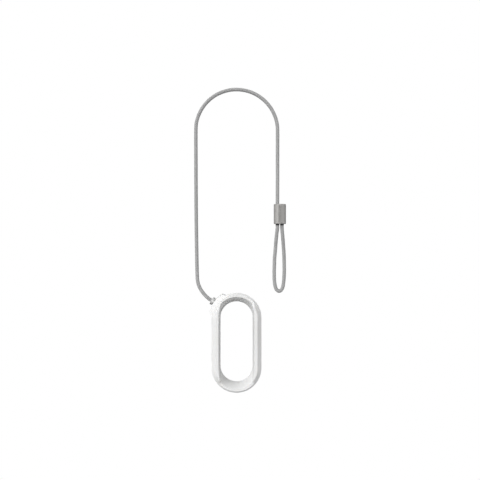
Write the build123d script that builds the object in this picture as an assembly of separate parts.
from build123d import *
import math
import os

# Racetrack grip ring on a round braided cord, with a flanged swivel collar in the ring's shoulder,
# a metal ferrule at the cord's far end and a small cord loop below the ferrule.
# The object lies flat: the ring's back face is on z = 0, +Z points out of the ring's front and
# +Y runs from the ring towards the cord's arch. The origin is the ring's centre on its back face.
# "Left" is -X, "upper" is +Y. All sizes are in millimetres.

# ---- grip ring ---------------------------------------------------------------------------------
RING_R = 18.7            # outer end radius at the widest line
RING_HALF = 18.75        # half of the outer straight length
RING_WALL_TOP = 8.0      # height of the widest line, where the bevel starts
RAIL_TOP = 12.0          # the side rails' front face
END_TOP = 9.56           # the ends' front face, lower than the rails
BEVEL_IN = 3.08          # how far the outer bevel comes in at the rails' height
BACK_CHAMFER = 0.9       # height of the chamfer round the back face
WALL_DRAFT = 0.56        # how far the wall leans in, from the widest line to the back chamfer
BACK_IN = 0.95           # how far the back face's edge is inside the widest line
WIN_R = 12.25            # window end radius
WIN_HALF = 18.2          # half of the window's straight length
WIN_LAND = 0.6           # short upright land at the window's back edge
RAIL_IN = 13.4           # the rails' inner front edge, from the centre line
RAIL_IN_ARC = 38.0       # the rails' inner edge bends inwards on this radius at its ends
RAIL_IN_REACH = 16.5     # how far that bend runs along Y
END_OPEN_R = 16.3        # the cone-like inner bevel reaches this radius at the ends' front face
OPENING_TOP = 13.5       # the opening's cutter ends here, above the rails

# Profile of the front face towards each end: distance from the centre along Y, height
DROP_PROFILE = [
    (RING_HALF, RAIL_TOP), (24.0, 11.95), (27.0, 11.70), (28.0, 11.26),
    (28.8, 10.62), (29.6, 9.98), (30.4, 9.65), (31.3, END_TOP),
]
DROP_CUT_END = 45        # the front face's cutter runs out to here along Y,
DROP_CUT_TOP = 16        # up to here,
DROP_CUT_X = 25          # and this far to either side

# ---- boss on the upper left shoulder; angles are degrees above horizontal-left -------------------
BOSS_R = 20.6
BOSS_A0, BOSS_A1 = 10.6, 58.6        # ends of the outer face
RAMP_A0, RAMP_A1 = 3.2, 64.2         # feet of the ramps
RAMP_R = 18.45                       # radius of the ramps' feet
BOSS_IN_R = 16.2                     # inner radius, buried in the ring
BOSS_Z0, BOSS_Z1 = 0.9, 8.8
BOSS_EDGE_Z = 7.4                    # the top slopes down to here at the outer face
BOSS_SLOPE_IN = 2.6                  # radial width of that slope
BOSS_ROUND = 0.5

# ---- swivel hardware, distances measured along the collar's axis from the end arc's centre -------
COLLAR_ANGLE = 34.1                  # degrees above horizontal-left
COLLAR_Z = 4.5
SEAT = BOSS_R - 0.25                 # floor of the shallow recess in the boss
SEAT_GAP = 0.15                      # clearance round the neck
BORE_IN = 8.0                        # the bore's cutter starts here, inside the window
FLANGE_D, FLANGE_T = 6.0, 2.45       # thickness includes the neck
NECK_D, NECK_T = 5.3, 0.85           # narrower neck between the boss and the flange
SLEEVE_OD, SLEEVE_ID = 5.3, 4.5
SLEEVE_IN = 15.9
PLUG_OUT = SLEEVE_IN
SPIGOT_IN = 18.3
COLLAR_BORE = 2.76
WASHER_OUT, WASHER_IN = 18.25, 17.75
WASHER_OD, WASHER_ID = 4.4, 2.8
BEAD_OUT, BEAD_IN, BEAD_D = 17.70, 15.95, 4.34
ROOT_IN = BEAD_IN + 0.35             # the cord's end inside the bead

# ---- cord --------------------------------------------------------------------------------------
CORD_R = 1.3
CUP_GAP = 0.10           # clearance between a segment's round end and the next segment's cup
TABLE_Z = CORD_R         # the cord's centreline where it lies flat
CORD_START = 22.9        # the curved cord starts here on the collar's axis
START_FALL = 32.0        # length over which the cord comes down from the collar
END_RISE_Y = 132.0       # the cord starts to rise towards the ferrule here,
END_RISE = 24.0          # over this distance
LINE_STEPS = 4000        # sampling used to find the joints on the centreline

# Cord centreline in plan (x, y), from just outside the collar round the arch to the ferrule
CORD_PLAN = [
    (-20.00, 32.11), (-21.30, 33.12), (-22.55, 34.21), (-23.75, 35.34), (-24.83, 36.59),
    (-25.84, 37.88), (-26.80, 39.22), (-27.63, 40.64), (-28.33, 42.12), (-28.94, 43.65),
    (-29.38, 45.32), (-29.82, 49.68), (-30.08, 56.74), (-30.36, 71.93), (-30.63, 92.20),
    (-30.79, 112.46), (-30.89, 132.73), (-30.94, 150.96), (-30.94, 159.47), (-30.63, 165.43),
    (-29.27, 170.74), (-26.99, 175.76), (-23.87, 180.29), (-19.99, 184.21), (-15.49, 187.39),
    (-10.45, 189.65), (-5.13, 191.02), (0.35, 191.41), (5.79, 190.87), (11.05, 189.38),
    (15.94, 186.98), (20.34, 183.79), (24.11, 179.91), (27.17, 175.45), (29.37, 170.53),
    (30.75, 165.33), (31.14, 159.47), (31.14, 152.99), (31.13, 140.83), (31.11, 128.65),
    (31.05, 122.49), (30.96, 116.33), (30.90, 111.25), (30.88, 107.71),
]

# Cord segments in order, each with the plan point (x, y) of the joint at its far end.
# The last segment ends with the centreline, above the ferrule.
SEGMENT_ENDS = {
    "cord_root": (-21.30, 33.12),
    "cord_neck": (-26.80, 39.22),
    "cord_left_low": (-30.36, 71.93),
    "cord_left_mid": (-30.79, 112.46),
    "cord_left_high": (-30.94, 150.96),
    "cord_arch_left": (-15.49, 187.39),
    "cord_arch_top": (15.94, 186.98),
    "cord_arch_right": (31.14, 152.99),
    "cord_right_high": (31.11, 128.65),
    "cord_right_low": None,
}

# ---- ferrule -----------------------------------------------------------------------------------
FERRULE_D, FERRULE_ID = 9.2, 7.9
FERRULE_X, FERRULE_Z = 32.69, FERRULE_D / 2
FERRULE_Y0, FERRULE_Y1 = 89.20, 104.15
CAP_T = 1.4
LEG_L, LEG_R = 30.88, 34.24          # x of the two cord bores
INSERT_Y0 = FERRULE_Y0 + 0.35
CAP_Y1 = FERRULE_Y1 - 0.25
INSERT_Y1 = CAP_Y1 - CAP_T
CRIMP_Y1 = INSERT_Y1 - 1.2
CRIMP_Y0 = CRIMP_Y1 - 5.0
CRIMP_R = 1.75
CRIMP_FLAT = 1.38                    # the crimp's flat left side, from its axis
TAIL_TOP = CRIMP_Y1 - 0.5            # the cord's end inside the crimp
LEG_SLEEVE_LEN = 1.05                # how far the leg sleeves stand out of the ferrule
LEG_SLEEVE_D = 2.90

MARKS = 17                           # fine marks across the ferrule's front
MARK_WIDTHS = (1.8, 1.2, 1.5)        # repeated in this order along the row
MARK_Y_SIZE, MARK_DEPTH = 0.34, 0.26
MARK_MARGIN = 1.3                    # from the ferrule's ends to the outer marks
MARK_LEFT = FERRULE_X - 1.16         # the marks' common left edge

# ---- loop below the ferrule ----------------------------------------------------------------------
FOLD_Y = 86.95                       # joint at the top of each leg
BEND_Y = 61.80                       # joint at the bottom of each leg
BEND_L, BEND_R = 28.81, 36.11
LOOP_FLAT_Y = 60.0                   # below this the loop lies flat

# Leg centrelines in plan (x, y) between the two joints, from top to bottom
LEFT_LEG = [(30.50, 83.04), (30.06, 79.02), (29.64, 73.97), (29.28, 68.40)]
RIGHT_LEG = [(34.53, 83.04), (34.93, 79.02), (35.37, 73.97), (35.81, 68.40)]
# Bottom of the loop in plan (x, y), from the left joint to the right one
LOOP_BOTTOM = [
    (28.59, 53.19), (28.76, 46.10), (29.50, 41.54), (30.72, 39.10), (32.34, 38.24),
    (33.91, 39.05), (35.08, 41.43), (35.83, 46.10), (36.23, 53.19),
]


# ---- helpers -----------------------------------------------------------------------------------
def polar(radius, degrees):
    """Plan point about the upper end arc's centre, in degrees above horizontal-left."""
    angle = math.radians(degrees)
    return (-radius * math.cos(angle), RING_HALF + radius * math.sin(angle))


def one(shape):
    """The largest solid of a shape."""
    return sorted(shape.solids(), key=lambda solid: -solid.volume)[0]


def circles(shape, radius=None):
    """Circular edges, optionally only those of one radius."""
    found = [e for e in shape.edges() if e.geom_type == GeomType.CIRCLE]
    return [e for e in found if radius is None or abs(e.radius - radius) < 0.01]


def racetrack(r, half, z):
    """Racetrack wire with end radius r and straight half-length half, long axis along Y."""
    return Wire([
        Line((r, -half, z), (r, half, z)),
        ThreePointArc((r, half, z), (0, half + r, z), (-r, half, z)),
        Line((-r, half, z), (-r, -half, z)),
        ThreePointArc((-r, -half, z), (0, -half - r, z), (r, -half, z)),
    ])


def rail_outline(side_x, half, z):
    """Wire with straight sides at x = side_x that bend inwards beyond the straight part."""
    centre_x = side_x - RAIL_IN_ARC
    angle = math.asin(RAIL_IN_REACH / RAIL_IN_ARC)
    end_x = centre_x + RAIL_IN_ARC * math.cos(angle)
    end_y = half + RAIL_IN_REACH
    mid_x = centre_x + RAIL_IN_ARC * math.cos(angle / 2)
    mid_y = half + RAIL_IN_ARC * math.sin(angle / 2)
    return Wire([
        Line((side_x, -half, z), (side_x, half, z)),
        ThreePointArc((side_x, half, z), (mid_x, mid_y, z), (end_x, end_y, z)),
        Line((end_x, end_y, z), (-end_x, end_y, z)),
        ThreePointArc((-end_x, end_y, z), (-mid_x, mid_y, z), (-side_x, half, z)),
        Line((-side_x, half, z), (-side_x, -half, z)),
        ThreePointArc((-side_x, -half, z), (-mid_x, -mid_y, z), (-end_x, -end_y, z)),
        Line((-end_x, -end_y, z), (end_x, -end_y, z)),
        ThreePointArc((end_x, -end_y, z), (mid_x, -mid_y, z), (side_x, -half, z)),
    ])


def between(lower, upper):
    return Solid.make_loft([lower, upper], ruled=True)


def axis_cyl(start, end, radius):
    """Cylinder on the collar's axis."""
    x, y = polar(start, COLLAR_ANGLE)
    angle = math.radians(COLLAR_ANGLE)
    direction = Vector(-math.cos(angle), math.sin(angle), 0)
    plane = Plane(origin=(x, y, COLLAR_Z), z_dir=direction)
    return Solid.make_cylinder(radius, end - start, plane)


def axis_tube(start, end, outer_d, inner_d):
    return one(axis_cyl(start, end, outer_d / 2) - axis_cyl(start - 1, end + 1, inner_d / 2))


def y_cyl(x, y0, y1, radius):
    """Cylinder along Y at the ferrule's height."""
    plane = Plane(origin=(x, y0, FERRULE_Z), z_dir=(0, 1, 0))
    return Solid.make_cylinder(radius, y1 - y0, plane)


def smooth(t):
    """Eased step from 0 to 1."""
    t = max(0.0, min(1.0, t))
    return t * t * (3 - 2 * t)


# ---- grip ring ---------------------------------------------------------------------------------
def boss_pad():
    """Arc-shaped pad with ramped ends and a sloping top edge."""
    outer_low, outer_high = polar(BOSS_R, BOSS_A0), polar(BOSS_R, BOSS_A1)
    outer_mid = polar(BOSS_R, (BOSS_A0 + BOSS_A1) / 2)
    foot_low, foot_high = polar(RAMP_R, RAMP_A0), polar(RAMP_R, RAMP_A1)
    inner_low, inner_high = polar(BOSS_IN_R, RAMP_A0), polar(BOSS_IN_R, RAMP_A1)
    inner_mid = polar(BOSS_IN_R, (RAMP_A0 + RAMP_A1) / 2)
    outline = Wire([
        ThreePointArc(outer_low, outer_mid, outer_high),
        Line(outer_high, foot_high),
        Line(foot_high, inner_high),
        ThreePointArc(inner_high, inner_mid, inner_low),
        Line(inner_low, foot_low),
        Line(foot_low, outer_low),
    ])
    pad = Solid.extrude(Face(outline), Vector(0, 0, BOSS_Z1 - BOSS_Z0))
    pad = pad.moved(Location((0, 0, BOSS_Z0)))
    slope = Solid.make_cone(BOSS_R, BOSS_R - BOSS_SLOPE_IN, BOSS_Z1 - BOSS_EDGE_Z,
                            Plane(origin=(0, RING_HALF, BOSS_EDGE_Z)))
    below = Solid.make_cylinder(BOSS_R, BOSS_EDGE_Z, Plane(origin=(0, RING_HALF, 0)))
    pad = one(pad & (below + slope))
    return pad.fillet(BOSS_ROUND, circles(pad, BOSS_R))


def front_drop(sign):
    """Cutter that rolls the front face off towards one lower end."""
    def point(y, z):
        return (0, sign * y, z)

    start, end = DROP_PROFILE[0], DROP_PROFILE[-1]
    face = Face(Wire([
        Spline([point(y, z) for y, z in DROP_PROFILE], tangents=[(0, sign, 0), (0, sign, 0)]),
        Line(point(*end), point(DROP_CUT_END, END_TOP)),
        Line(point(DROP_CUT_END, END_TOP), point(DROP_CUT_END, DROP_CUT_TOP)),
        Line(point(DROP_CUT_END, DROP_CUT_TOP), point(RING_HALF, DROP_CUT_TOP)),
        Line(point(RING_HALF, DROP_CUT_TOP), point(*start)),
    ]))
    return Solid.extrude(face.moved(Location((-DROP_CUT_X, 0, 0))), Vector(2 * DROP_CUT_X, 0, 0))


def ring_opening():
    """Cutter above the land: near-upright drafted rails and cone-like ends."""
    rail_slope = (RAIL_IN - WIN_R) / (RAIL_TOP - WIN_LAND)
    end_slope = (END_OPEN_R - WIN_R) / (END_TOP - WIN_LAND)
    rise = OPENING_TOP - WIN_LAND
    rails = between(rail_outline(WIN_R, WIN_HALF, WIN_LAND),
                    rail_outline(WIN_R + rail_slope * rise, WIN_HALF, OPENING_TOP))
    ends = between(racetrack(WIN_R, WIN_HALF, WIN_LAND),
                   racetrack(WIN_R + end_slope * rise, WIN_HALF, OPENING_TOP))
    return one(rails & ends)


def near(a, b):
    return abs(a - b) < 0.05


def plan_distance(edge):
    """Plan distance of an edge's middle from the end arc's centre or the centre line."""
    middle = edge.position_at(0.5)
    return math.hypot(middle.X, max(abs(middle.Y) - RING_HALF, 0))


def long_on_front(edge):
    return edge.length > 5 and all(edge.position_at(t).Z > 9.4 for t in (0.5, 0, 1))


def front_outer(edge):
    """Outer edge of the rails and low ends, without the round opening at each end."""
    distance = plan_distance(edge)
    end_opening = edge.geom_type == GeomType.CIRCLE and distance < 17.0
    return long_on_front(edge) and distance > RING_R - BEVEL_IN - 0.05 and not end_opening


def widest_line(edge):
    return near(edge.center().Z, RING_WALL_TOP) and edge.length > 5


def long_on_back(edge):
    return near(edge.center().Z, 0) and edge.length > 30


def back_outer(edge):
    return long_on_back(edge) and near(plan_distance(edge), RING_R - BACK_IN)


def back_inner(edge):
    return long_on_back(edge) and plan_distance(edge) < 13.5


def rail_inner(edge):
    straight_side = 10.5 < plan_distance(edge) < 15.0 and edge.geom_type != GeomType.CIRCLE
    return long_on_front(edge) and straight_side


# Edge roundings in order: radius, which edges
ROUNDINGS = [
    (0.4, front_outer),
    (0.5, widest_line),
    (0.4, back_outer),
    (0.4, back_inner),
    (0.35, rail_inner),
]


def whole_ring():
    """The ring before the swivel's bore is cut."""
    sections = [
        racetrack(RING_R - inset, RING_HALF, z)
        for inset, z in [(BACK_IN, 0), (WALL_DRAFT, BACK_CHAMFER), (0, RING_WALL_TOP),
                         (BEVEL_IN, RAIL_TOP)]
    ]
    ring = between(sections[0], sections[1])
    ring = ring + between(sections[1], sections[2])
    ring = ring + between(sections[2], sections[3])
    ring = ring + boss_pad()
    ring = ring - front_drop(1) - front_drop(-1)
    land_outline = Face(racetrack(WIN_R, WIN_HALF, -1))
    window = Solid.extrude(land_outline, Vector(0, 0, WIN_LAND + 1))
    ring = one(ring - window - ring_opening())
    for radius, wanted in ROUNDINGS:
        # A fillet the kernel can't build, or builds wrongly, leaves its edges sharp.
        try:
            rounded = ring.fillet(radius, [e for e in ring.edges() if wanted(e)])
            if rounded.is_valid and abs(rounded.volume - ring.volume) < 60:
                ring = one(rounded)
        except Exception:
            continue
    return ring


def grip_ring(ring):
    seat = axis_cyl(SEAT, BOSS_R + 4, NECK_D / 2 + SEAT_GAP)
    bore = axis_cyl(BORE_IN, BOSS_R + 2, SLEEVE_OD / 2)
    return one(ring - bore - seat)


def socket_plug(ring):
    """Plug that fills the inner end of the bore, flush with the ring's opening."""
    return one(ring & axis_cyl(BORE_IN, PLUG_OUT, SLEEVE_OD / 2))


# ---- swivel hardware -----------------------------------------------------------------------------
def outermost_circle(shape, radius):
    """The circular edge of this radius farthest out along the collar's axis."""
    centre = Vector(0, RING_HALF, COLLAR_Z)
    return [max(circles(shape, radius), key=lambda e: (e.center() - centre).length)]


def collar_bush():
    """Spigot, neck and flange, with a bore chamfered at its mouth."""
    flange_out = SEAT + FLANGE_T
    collar = (
        axis_cyl(SPIGOT_IN, SEAT + 0.01, SLEEVE_ID / 2)
        + axis_cyl(SEAT, SEAT + NECK_T + 0.01, NECK_D / 2)
        + axis_cyl(SEAT + NECK_T, flange_out, FLANGE_D / 2)
    )
    collar = one(collar.chamfer(0.35, 0.35, outermost_circle(collar, FLANGE_D / 2)))
    collar = collar - axis_cyl(SPIGOT_IN - 1, flange_out + 1, COLLAR_BORE / 2)
    return one(collar.chamfer(0.3, 0.3, outermost_circle(collar, COLLAR_BORE / 2)))


def stop_bead():
    """Chamfered bead on the cord's end."""
    bead = axis_cyl(BEAD_IN, BEAD_OUT, BEAD_D / 2)
    bead = bead.chamfer(0.3, 0.3, circles(bead))
    return one(bead - axis_cyl(ROOT_IN, BEAD_OUT + 1, CORD_R))


# ---- cord --------------------------------------------------------------------------------------
def cord_centreline():
    """Spline from just outside the collar to just above the ferrule."""
    plan = [polar(CORD_START, COLLAR_ANGLE)] + CORD_PLAN
    points = []
    run = 0.0
    previous = plan[0]
    for x, y in plan:
        run += math.dist(previous, (x, y))
        previous = (x, y)
        if x < 0:
            z = COLLAR_Z + (TABLE_Z - COLLAR_Z) * smooth(run / START_FALL)
        else:
            z = TABLE_Z + (FERRULE_Z - TABLE_Z) * smooth((END_RISE_Y - y) / END_RISE)
        points.append((x, y, z))
    # Extra points on the collar's and the bore's axes line the ends up; they are trimmed off.
    before = [(*polar(CORD_START - d, COLLAR_ANGLE), COLLAR_Z) for d in (3.0, 1.5)]
    after = [(LEG_L, FERRULE_Y1 + d, FERRULE_Z) for d in (0.4, -3)]
    full = Edge(Spline(before + points + after).wrapped)
    first = full.param_at_point(Vector(*points[0]))
    last = full.param_at_point(Vector(*points[-1]))
    return full.trim(first, last)


def ball(centre, radius):
    # The tilted pole keeps the sphere's seam away from the cord's own edges.
    plane = Plane(origin=centre, z_dir=(0.23, 0.31, 0.92))
    return Solid.make_sphere(radius, plane, -90, 90, 360)


def swept(path):
    """Round cord along an edge."""
    wire = Wire([path])
    start_plane = Plane(origin=wire.position_at(0), z_dir=wire.tangent_at(0))
    profile = Face(Wire.make_circle(CORD_R, start_plane))
    rod = Solid.sweep(profile, wire)
    expected = math.pi * CORD_R * CORD_R * wire.length
    # A sweep with the wrong volume is made again on a simpler spline through the same path.
    if abs(rod.volume - expected) > 0.01 * expected:
        points = [wire.position_at(i / 6) for i in range(7)]
        tangents = [wire.tangent_at(0), wire.tangent_at(1)]
        simpler = Edge(Spline(points, tangents=tangents).wrapped)
        rod = Solid.sweep(profile, Wire([simpler]))
    return rod


def cord_piece(path, cups=(), round_end=None, extra=None):
    """Cord along a path, with hollow cups and a round end at the given joints."""
    piece = swept(path)
    if extra is not None:
        piece = piece + extra
    if round_end is not None:
        piece = piece + ball(round_end, CORD_R)
    for joint in cups:
        piece = piece - ball(joint, CORD_R + CUP_GAP)
    return one(piece)


def cord_segments(line):
    """The jointed segments from the stop bead to the ferrule."""
    samples = [line.position_at(i / LINE_STEPS) for i in range(LINE_STEPS + 1)]

    def nearest(x, y):
        index = min(range(LINE_STEPS + 1),
                    key=lambda i: (samples[i].X - x) ** 2 + (samples[i].Y - y) ** 2)
        return index / LINE_STEPS

    pieces = {}
    start, cups = 0, []
    extra = axis_cyl(ROOT_IN, CORD_START, CORD_R)    # straight root inside the collar
    for name, place in SEGMENT_ENDS.items():
        stop = nearest(*place) if place else 1.0
        joint = line.position_at(stop)
        pieces[name] = cord_piece(line.trim(start, stop), cups, joint, extra)
        start, cups, extra = stop, [joint], None
    return pieces


# ---- ferrule -----------------------------------------------------------------------------------
def ferrule_shell():
    """Chamfered tube with a row of fine marks along its front."""
    shell = y_cyl(FERRULE_X, FERRULE_Y0, FERRULE_Y1, FERRULE_D / 2)
    shell = shell.chamfer(0.3, 0.3, circles(shell))
    shell = shell - y_cyl(FERRULE_X, FERRULE_Y0 - 1, FERRULE_Y1 + 1, FERRULE_ID / 2)
    pitch = (FERRULE_Y1 - FERRULE_Y0 - 2 * MARK_MARGIN) / (MARKS - 1)
    for i in range(MARKS):
        y = FERRULE_Y0 + MARK_MARGIN + i * pitch
        corner = (MARK_LEFT, y - MARK_Y_SIZE / 2, FERRULE_D - MARK_DEPTH)
        width = MARK_WIDTHS[i % len(MARK_WIDTHS)]
        shell = shell - Solid.make_box(width, MARK_Y_SIZE, 1.0, Plane(origin=corner))
    return one(shell)


def ferrule_cap():
    """Disc in the ferrule's upper end, with the left bore only."""
    cap = y_cyl(FERRULE_X, INSERT_Y1, CAP_Y1, FERRULE_ID / 2)
    return one(cap - y_cyl(LEG_L, INSERT_Y1 - 1, CAP_Y1 + 1, CORD_R))


def crimp_body():
    """Solid crimp with a flat left side."""
    box = Solid.make_box(4, 20, 6, Plane(origin=(LEG_R - CRIMP_FLAT, CRIMP_Y0 - 1, FERRULE_Z - 3)))
    return one(y_cyl(LEG_R, CRIMP_Y0, CRIMP_Y1, CRIMP_R) & box)


def ferrule_insert(crimp):
    """Core with a through bore on the left, and a blind bore and crimp pocket on the right."""
    insert = y_cyl(FERRULE_X, INSERT_Y0, INSERT_Y1, FERRULE_ID / 2)
    insert = insert - y_cyl(LEG_L, INSERT_Y0 - 1, CAP_Y1, CORD_R)
    insert = insert - y_cyl(LEG_R, INSERT_Y0 - 1, CRIMP_Y1, CORD_R)
    return one(insert - crimp)


def cord_end_crimp(crimp):
    return one(crimp - y_cyl(LEG_R, CRIMP_Y0 - 1, TAIL_TOP, CORD_R))


def leg_sleeve(x):
    """Short sleeve round a leg where it leaves the ferrule."""
    sleeve = y_cyl(x, FERRULE_Y0 - LEG_SLEEVE_LEN, INSERT_Y0, LEG_SLEEVE_D / 2)
    return one(sleeve - y_cyl(x, FERRULE_Y0 - 6, FERRULE_Y0 + 2, CORD_R))


# ---- cord through the ferrule, and loop ----------------------------------------------------------
def loop_point(x, y):
    """Point on the loop's centreline, which falls from the ferrule to the table."""
    fall = smooth((y - LOOP_FLAT_Y) / (FOLD_Y - LOOP_FLAT_Y))
    return (x, y, TABLE_Z + (FERRULE_Z - TABLE_Z) * fall)


def leg_path(top_x, plan, bottom_x, lean):
    """Centreline of one leg; lean is its sideways slope at the top."""
    points = [loop_point(x, y) for x, y in [(top_x, FOLD_Y), *plan, (bottom_x, BEND_Y)]]
    return Edge(Spline(points, tangents=[(lean, -1, 0), (lean * 0.4, -1, -0.03)]).wrapped)


def loop_pieces(tilt_joint):
    """The straight cords inside the ferrule and the three pieces of the loop."""
    fold_left, fold_right = Vector(LEG_L, FOLD_Y, FERRULE_Z), Vector(LEG_R, FOLD_Y, FERRULE_Z)
    bottom = [loop_point(x, y) for x, y in [(BEND_L, BEND_Y), *LOOP_BOTTOM, (BEND_R, BEND_Y)]]
    bend_left, bend_right = Vector(*bottom[0]), Vector(*bottom[-1])
    through = Edge.make_line((LEG_L, tilt_joint.Y, FERRULE_Z), (LEG_L, FOLD_Y, FERRULE_Z))
    tail = Edge.make_line((LEG_R, TAIL_TOP, FERRULE_Z), (LEG_R, FOLD_Y, FERRULE_Z))
    left = leg_path(LEG_L, LEFT_LEG, BEND_L, lean=-0.06)
    right = leg_path(LEG_R, RIGHT_LEG, BEND_R, lean=0.05)
    under = Edge(Spline(bottom, tangents=[(-0.03, -1, -0.02), (-0.02, 1, 0.02)]).wrapped)
    return {
        "cord_through": cord_piece(through, [tilt_joint], fold_left),
        "cord_tail": cord_piece(tail, round_end=fold_right),
        "loop_leg_left": cord_piece(left, [fold_left], bend_left),
        "loop_leg_right": cord_piece(right, [fold_right], bend_right),
        "loop_bottom": cord_piece(under, [bend_left, bend_right]),
    }


# ---- build and export --------------------------------------------------------------------------
ring = whole_ring()
crimp = crimp_body()
centreline = cord_centreline()

parts = {
    "grip_ring": grip_ring(ring),
    "socket_plug": socket_plug(ring),
    "anchor_sleeve": axis_tube(SLEEVE_IN, SEAT, SLEEVE_OD, SLEEVE_ID),
    "collar_bush": collar_bush(),
    "thrust_washer": axis_tube(WASHER_IN, WASHER_OUT, WASHER_OD, WASHER_ID),
    "stop_bead": stop_bead(),
    "ferrule_shell": ferrule_shell(),
    "ferrule_cap": ferrule_cap(),
    "ferrule_insert": ferrule_insert(crimp),
    "cord_end_crimp": cord_end_crimp(crimp),
    "leg_sleeve_left": leg_sleeve(LEG_L),
    "leg_sleeve_right": leg_sleeve(LEG_R),
    **cord_segments(centreline),
    **loop_pieces(centreline.position_at(1.0)),
}

os.makedirs("parts", exist_ok=True)
for name, solid in parts.items():
    export_step(solid, f"parts/{name}.step")
